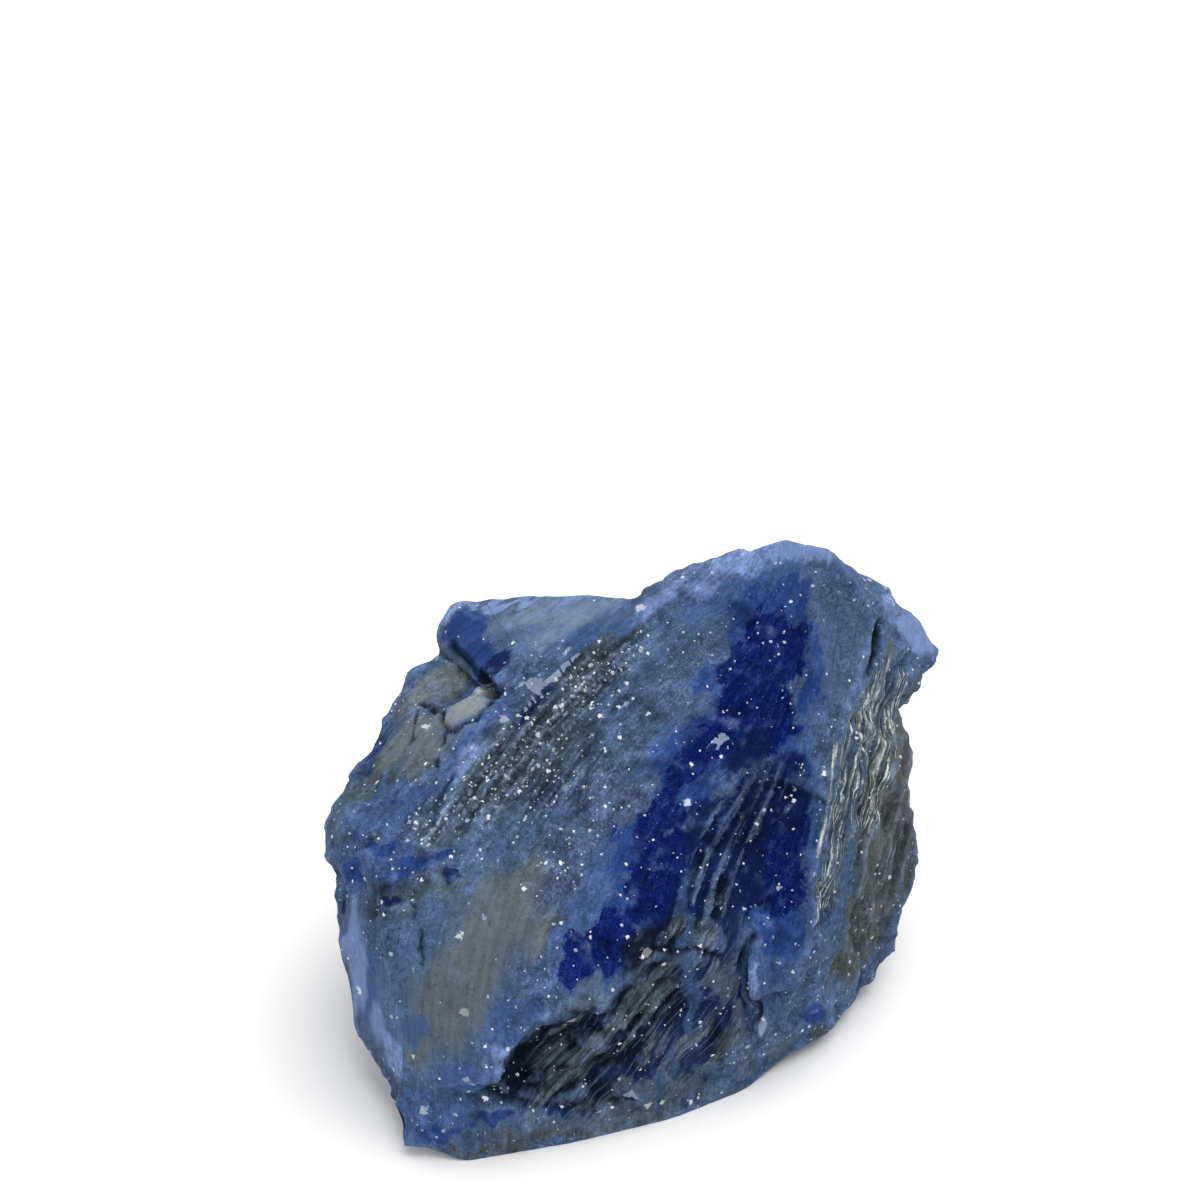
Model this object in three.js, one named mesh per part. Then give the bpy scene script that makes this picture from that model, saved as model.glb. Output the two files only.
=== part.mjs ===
// Rough sodalite, one broken piece of stone about 48 mm wide.
//
// Its corners and break faces are set by hand: a big sloping front face with a
// lip and a hollow below it, a raised flake, a striped right flank with a
// pointed tip, a flat ledge at the back left, and a broken back. The faces are
// then cut into small triangles and roughened with lumps, terraces, ribs and pits.
//
// Millimetres, +Z up. The stone rests on a small flat spot at z = 0, and its
// box is centred on X and Y.

import * as THREE from 'three';
import { ImprovedNoise } from 'three/addons/math/ImprovedNoise.js';

// ---------------------------------------------------------------- dimensions

const LONGEST_EDGE = 2;         // of a triangle of the finished surface
const FIRST_EDGE = 12;          // longest edge that the first cut leaves
const EDGE_STEP = 0.82;         // each further cut allows edges this much shorter

// Rounded lumps and smaller knobs cover the whole stone. A seed only picks
// which stretch of the noise is used.
const LUMP = { size: 7.5, height: 0.55, seed: 0.4 };
const KNOB = { size: 3.2, height: 0.3, seed: 7.9 };
const RESTING_FADE = 3;         // the roughness grows from nothing over this height

// Terraces climb the upper left of the front face, one behind the other: full
// within `core` of their middle, and gone at `reach`.
const TERRACE = {
  width: 4.2,
  height: 0.42,
  rise: 0.8,                    // share of the width that slopes up, before the drop
  across: new THREE.Vector3(0.62, 0.52, 0.59).normalize(),
  middle: new THREE.Vector3(-7, 4, 26),
  core: 6.5,
  reach: 13,
  waver: { size: 9, height: 1.1, seed: 3.1 },
};

// Ribs run down the right flank, side by side. They start where the surface
// turns to the right: `turn` holds the normal's X at which they start and are full.
const RIB = {
  width: 3.4,
  height: 0.3,
  across: new THREE.Vector3(0.45, 0.87, 0.2).normalize(),
  turn: [0.45, 0.8],
  waver: { size: 8, height: 0.8, seed: 5.7 },
};

const PITS = [
  { at: [19.5, 7.5, 28.5], radius: 1.5, depth: 0.6 },     // slot below the shoulder
  { at: [-20, -3.5, 16.5], radius: 2.6, depth: 0.7 },     // left edge
  { at: [-8.5, -12.5, 7.5], radius: 2.2, depth: 0.7 },    // deepest part of the hollow
  { at: [6.5, 9, 30], radius: 1.8, depth: 0.45 },         // near the top of the front
  { at: [20.5, 1, 12], radius: 2.4, depth: 0.5 },         // flank
  { at: [-9, 20.5, 17.5], radius: 3.2, depth: 0.9 },      // back
  { at: [12, 20.5, 16], radius: 2.4, depth: 0.8 },
  { at: [-19.5, 11.5, 11], radius: 2.8, depth: 0.8 },
];

// Corners of the break faces, in groups that follow the stone's own edges.
const CORNERS = {
  // top edge of the front face, from its left end over the peak to the shoulder
  rim: [
    [0.5, 12, 32.5], [3.5, 13, 34.5], [6, 13, 35], [9, 13.5, 36],
    [11.5, 14, 36.5], [15, 13, 36], [18, 11.5, 33],
  ],
  // the edge that drops from the rim towards the ledge
  spur: [[-3.5, 10.5, 31.5], [-6, 9, 30.5], [-8, 7.5, 29]],
  // flat ledge at the back left, its rounded corner and the step under it
  ledge: [
    [-15.5, 15.5, 27.5], [-14.5, 16, 29], [-12, 16.5, 29.5], [-6, 17, 29.5],
    [1.5, 17, 29], [-10.5, 12.5, 29], [-15.5, 14.5, 26], [-14, 12.5, 27],
    [-12.5, 9.5, 26], [-11, 7, 27],
  ],
  // where the ledge meets the back of the spur
  nook: [[-3.5, 12.5, 29], [-6.5, 10.5, 29]],
  // sloping face at the upper left, below the ledge
  cheek: [
    [-22, 6, 20.5], [-18, 11, 25], [-15.5, 14, 25.5], [-14, 13, 25.5],
    [-12.5, 11, 25], [-14, 3, 25], [-18, 1, 22.5], [-22, -0.5, 21],
    [-23.5, 1.5, 19], [-17, 6, 24.5],
  ],
  // left side
  side: [
    [-23.5, -0.5, 18], [-23.5, -2, 11], [-21.5, -6.5, 4.5], [-17.5, -12, 8.5],
    [-19, -8.5, 15.5], [-19.5, -5, 19.5],
  ],
  // front left corner, down to the resting spot
  foot: [
    [-19.5, -9.5, 3.5], [-18.5, -13.5, 2.5], [-17.5, -15.5, 1], [-15.5, -15.5, 1],
    [-13, -16, 0], [-15, -15, 6.5],
  ],
  // front face, from the rim down
  main: [
    [1, 6.5, 27.5], [-5.5, 3.5, 25], [-12.5, -2, 21], [8, 8.5, 31],
    [13.5, 8, 31], [4, 0.5, 22.5], [10, 2, 25], [-4, -3.5, 19.5],
    [9.5, -2.5, 18], [4.5, -4.5, 18], [-2, -7.5, 15.5], [-14.5, -8.5, 16],
    [-9.5, -10, 14],
  ],
  // overhanging edge at the foot of the front face
  lip: [
    [-10.5, -15.5, 8], [-7.5, -13, 11.5], [-2.5, -11.5, 12], [1, -9, 14],
    [4, -7.5, 14.5], [8.5, -6.5, 13],
  ],
  // back of the hollow under the lip
  hollow: [[-9.5, -14, 5], [-6.5, -10.5, 7.5], [-2, -10.5, 9.5], [1.5, -8, 11]],
  // face below the hollow
  front: [[-5.5, -14, 4.5], [0.5, -11.5, 6], [5, -8.5, 8.5]],
  // raised flake at the lower right, and the foot of the step along its left edge
  ditch: [[8, -6.5, 9], [9, -7.5, 5]],
  flake: [[8.5, -8, 10.5], [9.5, -9, 6]],
  // edge between the front and the right flank, from the top down
  ridge: [
    [18.5, 9, 31], [16, 3, 27], [14.5, -1, 22.5], [13.5, -4, 18],
    [13.5, -5.5, 13.5], [12.5, -6.5, 8.5], [11, -6.5, 3],
  ],
  // pointed tip at the upper right
  tip: [
    [20.5, 14.5, 30], [22.5, 15.5, 28], [24.5, 15, 25.5], [23.5, 12.5, 24.5],
    [21, 9.5, 23.5], [22.5, 12, 27],
  ],
  // right flank
  flank: [
    [21.5, 7, 21], [22.5, 6, 12.5], [22.5, 6, 9], [21.5, 5.5, 3.5],
    [19.5, 2.5, 1.5], [17.5, -0.5, 6],
  ],
  // lower edge of the front
  skirt: [[16, -3, 1.5], [12.5, -5, 1], [8.5, -8.5, 0], [3, -11.5, 0], [-4.5, -14, 0]],
  // behind the rim
  crown: [[5, 17, 32], [12, 18, 33.5], [18.5, 16.5, 31]],
  // upper edge of the back
  back: [[-15.5, 18.5, 22], [-6, 21, 20], [4, 21, 22], [13, 21.5, 21], [21, 18.5, 20]],
  // slanting ledge across the back
  scar: [
    [-20, 13.5, 15], [-10.5, 20.5, 15.5], [-1, 19, 14.5], [-2, 21, 13],
    [8, 19.5, 11.5], [9, 21, 9.5], [21.5, 14.5, 11],
  ],
  // where the back turns under
  heel: [[-20, 8.5, 7], [-11.5, 16, 4.5], [-1, 18, 3.5], [10, 17.5, 4], [19, 12, 4.5]],
  // resting spot, with the skirt and the foot; the last corner is inside it
  base: [[11, -0.5, 0], [7, 10, 0], [-4, 11, 0], [-12, 3, 0], [-14.5, -9, 0], [-2, -1, 0]],
};

// Each line is a fan: its first corner makes a triangle with every two
// neighbours that follow, counterclockwise seen from outside.
const FANS = [
  'main0: rim1 rim0 spur0 main1 main7 main5 main3 rim2 rim1',
  'main1: ledge9 cheek5',
  'main2: main1 cheek5 cheek6 side5 main11 main12 main7 main1',
  'main3: main5 main6',
  'main3: rim4 rim3',
  'main4: rim4 main3 main6 ridge1 ridge0 rim6 rim5 rim4',
  'main7: main12 main10',
  'main8: main6 main5 main9 lip4 lip5 ridge4 ridge3 ridge2 main6',
  'main9: main5 main7 main10 lip3 lip4',
  'rim2: main3 rim3 crown0 rim1',
  'rim6: ridge0 tip0 crown2 rim5',
  'spur0: rim0 nook0 nook1 spur1 main1',
  'spur2: main1 spur1 nook1 ledge2 ledge5 ledge8 ledge9 main1',
  'ledge3: back1 ledge2 nook1 nook0',
  'ledge4: ledge3 nook0 rim0 rim1 crown0 back2 back1 ledge3',
  'ledge5: ledge2 ledge1 ledge0',
  'ledge6: cheek2 cheek3',
  'ledge7: ledge5 ledge0 ledge6 cheek3 cheek4 ledge8 ledge5',
  'ledge9: ledge8 cheek4',
  'cheek0: cheek1 scar0 cheek8 cheek7 cheek6',
  'cheek6: cheek7 side5',
  'cheek9: cheek1 cheek0 cheek6 cheek5 ledge9 cheek4 cheek3 cheek2 cheek1',
  'side0: cheek7 cheek8 scar0 heel0 side1 side5 cheek7',
  'side2: side4 side1 heel0 base3 base4 foot0 side3 side4',
  'side4: side3 main11 side5 side1',
  'foot1: side3 foot0 base4 foot2 foot5 side3',
  'foot3: foot5 foot2 base4 foot4 foot5',
  'foot5: foot4 hollow0',
  'lip0: lip1 main12 main11 side3 foot5 hollow0 hollow1 lip1',
  'lip1: hollow1 hollow2',
  'lip2: lip3 main10 main12 lip1 hollow2 hollow3 lip3',
  'lip4: lip3 hollow3',
  'lip5: ditch0 flake0',
  'hollow2: front1 hollow3',
  'front0: hollow1 hollow0 foot4 skirt4 skirt3 front1 hollow2 hollow1',
  'front1: skirt3 skirt2',
  'front2: hollow3 front1 skirt2 ditch1 ditch0 lip5 lip4 hollow3',
  'ditch1: skirt2 ridge6 flake1 flake0 ditch0',
  'ridge1: main6 ridge2 flank0 tip4 ridge0',
  'ridge5: lip5 flake0 flake1 ridge6 skirt0 flank5 ridge4 lip5',
  'tip0: tip1 crown2',
  'tip5: tip0 ridge0 tip4 tip3 tip2 tip1 tip0',
  'flank1: flank0 ridge2 ridge3 flank2 scar6',
  'flank4: skirt0 base0 base1',
  'flank5: skirt0 flank4 flank3 flank2 ridge3 ridge4',
  'skirt1: ridge6 skirt2 base0 skirt0 ridge6',
  'crown1: crown0 rim3 rim4 rim5 crown2 back3 back2 crown0',
  'back0: back1 scar1 scar0 cheek1 cheek2 ledge6 ledge0 ledge1 ledge2 back1',
  'back4: back3 crown2 tip1 tip2 tip3 tip4 flank0 flank1 scar6 back3',
  'scar2: back1 back2 scar4 scar5 scar3 scar1 back1',
  'scar3: scar5 heel3',
  'scar4: back2 back3 scar6 scar5',
  'heel1: scar0 scar1 heel2 base2 base3 heel0 scar0',
  'heel2: scar1 scar3 heel3 base1 base2',
  'heel4: scar6 flank2 flank3 flank4 base1 heel3 scar5 scar6',
  'base5: skirt4 foot4 base4 base3 base2 base1 base0 skirt2 skirt3 skirt4',
];

// ------------------------------------------------------------------- corners

// Points of all corners in one list, and the place of each name in it.
function cornerPoints() {
  const points = [];
  const placeOf = new Map();
  for (const [group, corners] of Object.entries(CORNERS)) {
    corners.forEach((corner, i) => {
      placeOf.set(group + i, points.length);
      points.push(new THREE.Vector3(...corner));
    });
  }
  return { points, placeOf };
}

// Triangles of the break faces, as places in the list of points.
function breakFaces(placeOf) {
  const triangles = [];
  for (const fan of FANS) {
    const [hub, ...outline] = fan.split(/:? /).map((name) => placeOf.get(name));
    for (let i = 1; i < outline.length; i += 1) {
      triangles.push([hub, outline[i - 1], outline[i]]);
    }
  }
  return triangles;
}

// ------------------------------------------------------------ fine triangles

const edgeKey = (a, b) => (a < b ? `${a} ${b}` : `${b} ${a}`);

// Middle points of all edges that are longer than the limit, by edge.
function middlePoints(points, triangles, limit) {
  const middles = new Map();
  for (const [a, b, c] of triangles) {
    for (const [from, to] of [[a, b], [b, c], [c, a]]) {
      const key = edgeKey(from, to);
      if (!middles.has(key) && points[from].distanceTo(points[to]) > limit) {
        middles.set(key, points.length);
        points.push(points[from].clone().lerp(points[to], 0.5));
      }
    }
  }
  return middles;
}

// One triangle cut at the middle points of its long edges.
function cutTriangle(triangle, middles, points) {
  const middle = (i) => middles.get(edgeKey(triangle[i], triangle[(i + 1) % 3]));
  const cuts = [0, 1, 2].filter((i) => middle(i) !== undefined);
  if (cuts.length === 0) {
    return [triangle];
  }
  // turned so that a lone cut, or the first of two neighbouring cuts, comes first
  const first = cuts.length === 2 && cuts[1] - cuts[0] === 2 ? 2 : cuts[0];
  const [a, b, c] = [0, 1, 2].map((i) => triangle[(first + i) % 3]);
  const [ab, bc, ca] = [0, 1, 2].map((i) => middle((first + i) % 3));
  if (cuts.length === 1) {
    return [[a, ab, c], [ab, b, c]];
  }
  if (cuts.length === 3) {
    return [[a, ab, ca], [ab, b, bc], [ca, bc, c], [ab, bc, ca]];
  }
  const shorter = points[ab].distanceTo(points[c]) < points[a].distanceTo(points[bc]);
  return shorter
    ? [[ab, b, bc], [a, ab, c], [ab, bc, c]]
    : [[ab, b, bc], [a, ab, bc], [a, bc, c]];
}

// Cuts the longest edges first, down to the finished size.
function refine(points, triangles) {
  let fine = triangles;
  for (let limit = FIRST_EDGE; limit > LONGEST_EDGE * EDGE_STEP; limit *= EDGE_STEP) {
    let middles;
    do {
      middles = middlePoints(points, fine, Math.max(limit, LONGEST_EDGE));
      fine = fine.flatMap((triangle) => cutTriangle(triangle, middles, points));
    } while (middles.size > 0);
  }
  return fine;
}

// ------------------------------------------------------------------ roughness

const { smoothstep } = THREE.MathUtils;
const noise = new ImprovedNoise();

function noiseAt(p, { size, height, seed }) {
  return height * noise.noise(p.x / size + seed, p.y / size - seed, p.z / size);
}

// Climbs over the share `rise` of each unit of t and drops over the rest,
// between -0.5 and 0.5.
function sawTooth(t, rise) {
  const part = t - Math.floor(t);
  return part < rise ? part / rise - 0.5 : (1 - part) / (1 - rise) - 0.5;
}

function terraces(p) {
  const along = p.dot(TERRACE.across) + noiseAt(p, TERRACE.waver);
  const near = 1 - smoothstep(p.distanceTo(TERRACE.middle), TERRACE.core, TERRACE.reach);
  return TERRACE.height * near * sawTooth(along / TERRACE.width, TERRACE.rise);
}

function ribs(p, normal) {
  const along = p.dot(RIB.across) + noiseAt(p, RIB.waver);
  const flank = smoothstep(normal.x, ...RIB.turn);
  return RIB.height * flank * Math.sin((2 * Math.PI * along) / RIB.width);
}

function pits(p) {
  let depth = 0;
  for (const pit of PITS) {
    const distance = p.distanceTo(new THREE.Vector3(...pit.at));
    depth += pit.depth * (1 - smoothstep(distance, 0, pit.radius));
  }
  return depth;
}

// How far the surface stands out at a point, along its normal.
function relief(p, normal) {
  const lumps = noiseAt(p, LUMP) + noiseAt(p, KNOB);
  const fade = smoothstep(p.z, 0, RESTING_FADE);
  return fade * (lumps + terraces(p) + ribs(p, normal) - pits(p));
}

// ---------------------------------------------------------------------- stone

function smoothNormals(points, triangles) {
  const normals = points.map(() => new THREE.Vector3());
  for (const corners of triangles) {
    const [a, b, c] = corners.map((i) => points[i]);
    const normal = b.clone().sub(a).cross(c.clone().sub(a));
    corners.forEach((i) => normals[i].add(normal));
  }
  return normals.map((normal) => normal.normalize());
}

function stoneGeometry() {
  const { points, placeOf } = cornerPoints();
  const triangles = refine(points, breakFaces(placeOf));
  const normals = smoothNormals(points, triangles);
  const rough = points.map((p, i) => p.clone().addScaledVector(normals[i], relief(p, normals[i])));
  const geometry = new THREE.BufferGeometry().setFromPoints(rough);
  geometry.setIndex(triangles.flat());
  geometry.computeVertexNormals();
  return geometry;
}

// Moves the geometry so that its box stands on z = 0, centred on X and Y.
function centred(geometry) {
  geometry.computeBoundingBox();
  const { min, max } = geometry.boundingBox;
  return geometry.translate(-(min.x + max.x) / 2, -(min.y + max.y) / 2, -min.z);
}

const sodalite = new THREE.Mesh(
  centred(stoneGeometry()),
  new THREE.MeshStandardMaterial({ color: 0x4a5c80, roughness: 0.5, metalness: 0 }),
);
sodalite.name = 'sodalite';

const group = new THREE.Group();
group.add(sodalite);

export default group;
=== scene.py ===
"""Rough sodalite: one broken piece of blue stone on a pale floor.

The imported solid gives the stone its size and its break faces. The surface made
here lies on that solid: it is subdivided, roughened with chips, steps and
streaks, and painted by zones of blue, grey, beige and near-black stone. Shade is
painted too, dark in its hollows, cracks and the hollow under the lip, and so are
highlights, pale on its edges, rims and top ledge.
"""

import math

import bmesh
import bpy
import numpy as np
from bpy.props import FloatProperty, FloatVectorProperty, IntProperty, PointerProperty
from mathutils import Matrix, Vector
from mathutils.bvhtree import BVHTree


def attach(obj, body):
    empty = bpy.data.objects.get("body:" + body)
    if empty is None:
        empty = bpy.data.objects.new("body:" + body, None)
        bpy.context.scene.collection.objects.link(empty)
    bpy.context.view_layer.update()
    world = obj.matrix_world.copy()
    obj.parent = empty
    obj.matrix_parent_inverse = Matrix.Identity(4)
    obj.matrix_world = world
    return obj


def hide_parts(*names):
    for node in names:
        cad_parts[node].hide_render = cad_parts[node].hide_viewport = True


bl_info = {
    "name": "Rough sodalite",
    "version": (1, 0, 0),
    "blender": (4, 5, 0),
    "location": "View3D > Sidebar > Sodalite",
    "description": "Builds the broken surface, the stone's colours and its stage",
    "category": "Object",
}

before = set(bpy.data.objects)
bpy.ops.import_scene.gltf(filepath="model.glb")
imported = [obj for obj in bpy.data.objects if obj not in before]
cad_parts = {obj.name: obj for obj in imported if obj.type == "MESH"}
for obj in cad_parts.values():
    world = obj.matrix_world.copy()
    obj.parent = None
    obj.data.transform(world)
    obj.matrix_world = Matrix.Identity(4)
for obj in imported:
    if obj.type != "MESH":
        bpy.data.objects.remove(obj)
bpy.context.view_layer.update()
NODE = "sodalite"
BODY = "root"
MM = 0.001

# The camera looks down by PITCH at AIM, from DISTANCE away, both in mm. Its lens and
# sensor are in mm too, and its frame is square, with FRAME_SIZE pixels to a side.
PITCH = math.radians(33)
AIM = (-3.1, 7.8, 33.2)
DISTANCE = 184.6
LENS = 72.0
SENSOR = 36.0
FRAME_SIZE = 1200

# Up the tilted front face, and straight into it.
FRONT_UP = np.array([0.0, 0.545, 0.839])
FRONT_IN = np.array([0.0, 0.839, -0.545])

EDGE_CREASE = 0.7       # how sharp the sharp edges of the solid stay when it is subdivided
FINE_ROUNDS = 16        # rounds of smoothing against which small edges and hollows stand out
BROAD_ROUNDS = 140      # the same for broad rims
REFRACTION = 1.48
GLOSS_LEVEL = 0.03      # almost no mirror gloss, so that the deep blue stays deep
FLOOR_HALF = 1.5        # half of the floor's width, in m


# ------------------------------------------------------------------- numbers

def smoothstep(value, low, high):
    """0 below low, 1 above high, and a smooth rise between them."""
    part = np.clip((value - low) / (high - low), 0.0, 1.0)
    return part * part * (3.0 - 2.0 * part)


def lattice_hash(cells, seed):
    """A number from 0 to 1 for each whole-numbered cell (n, 3), always the same."""
    mixed = (cells[..., 0] * 73856093) ^ (cells[..., 1] * 19349663) ^ (cells[..., 2] * 83492791)
    mixed = (mixed + seed * 2654435761) & 0xFFFFFFFF
    mixed = ((mixed ^ (mixed >> 15)) * 2246822519) & 0xFFFFFFFF
    mixed = ((mixed ^ (mixed >> 13)) * 3266489917) & 0xFFFFFFFF
    return ((mixed ^ (mixed >> 16)) & 0xFFFFFF) / float(0xFFFFFF)


def noise(points, size, seed):
    """Smooth noise from -1 to 1: random values on a lattice `size` apart, blended."""
    scaled = points / size
    cell = np.floor(scaled).astype(np.int64)
    part = scaled - cell
    blend = part ** 3 * (part * (part * 6 - 15) + 10)
    total = np.zeros(len(points))
    for corner in np.ndindex(2, 2, 2):
        offset = np.array(corner)
        weight = np.prod(np.where(offset, blend, 1 - blend), axis=1)
        total += weight * lattice_hash(cell + offset, seed)
    return total * 2 - 1


def layered_noise(points, size, layers, seed):
    """Noise plus ever finer and weaker noise, each half the size and the height."""
    total = np.zeros(len(points))
    for layer in range(layers):
        total += noise(points + 7.3 * layer, size / 2 ** layer, seed + layer) / 2 ** layer
    return total


def chips(points, size, seed):
    """Height of flat chips at odd angles, and how light each one is, both about -1 to 1.

    Each cell of a lattice `size` apart holds one chip: a plane through a
    scattered point, with its own level and tilt. The nearest chip counts, and
    blends with its neighbour over a narrow seam: height =
    sum(w * (level + tilt . away)) / sum(w), with w = exp(-16 * distance^2).
    """
    scaled = points / size
    cell = np.floor(scaled).astype(np.int64)
    height = np.zeros(len(points))
    light = np.zeros(len(points))
    weights = np.full(len(points), 1e-12)
    for step in np.ndindex(3, 3, 3):
        neighbour = cell + np.array(step) - 1
        values = [lattice_hash(neighbour, seed + 31 * part) for part in range(7)]
        away = scaled - neighbour - np.stack(values[:3], axis=1)
        tilt = 2.4 * np.stack(values[3:6], axis=1) - 1.2
        weight = np.exp(-16 * np.einsum("ij,ij->i", away, away))
        height += weight * (values[6] - 0.5 + np.einsum("ij,ij->i", away, tilt))
        light += weight * (2 * values[6] - 1)
        weights += weight
    return height / weights, light / weights


# --------------------------------------------------------------------- zones

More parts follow.
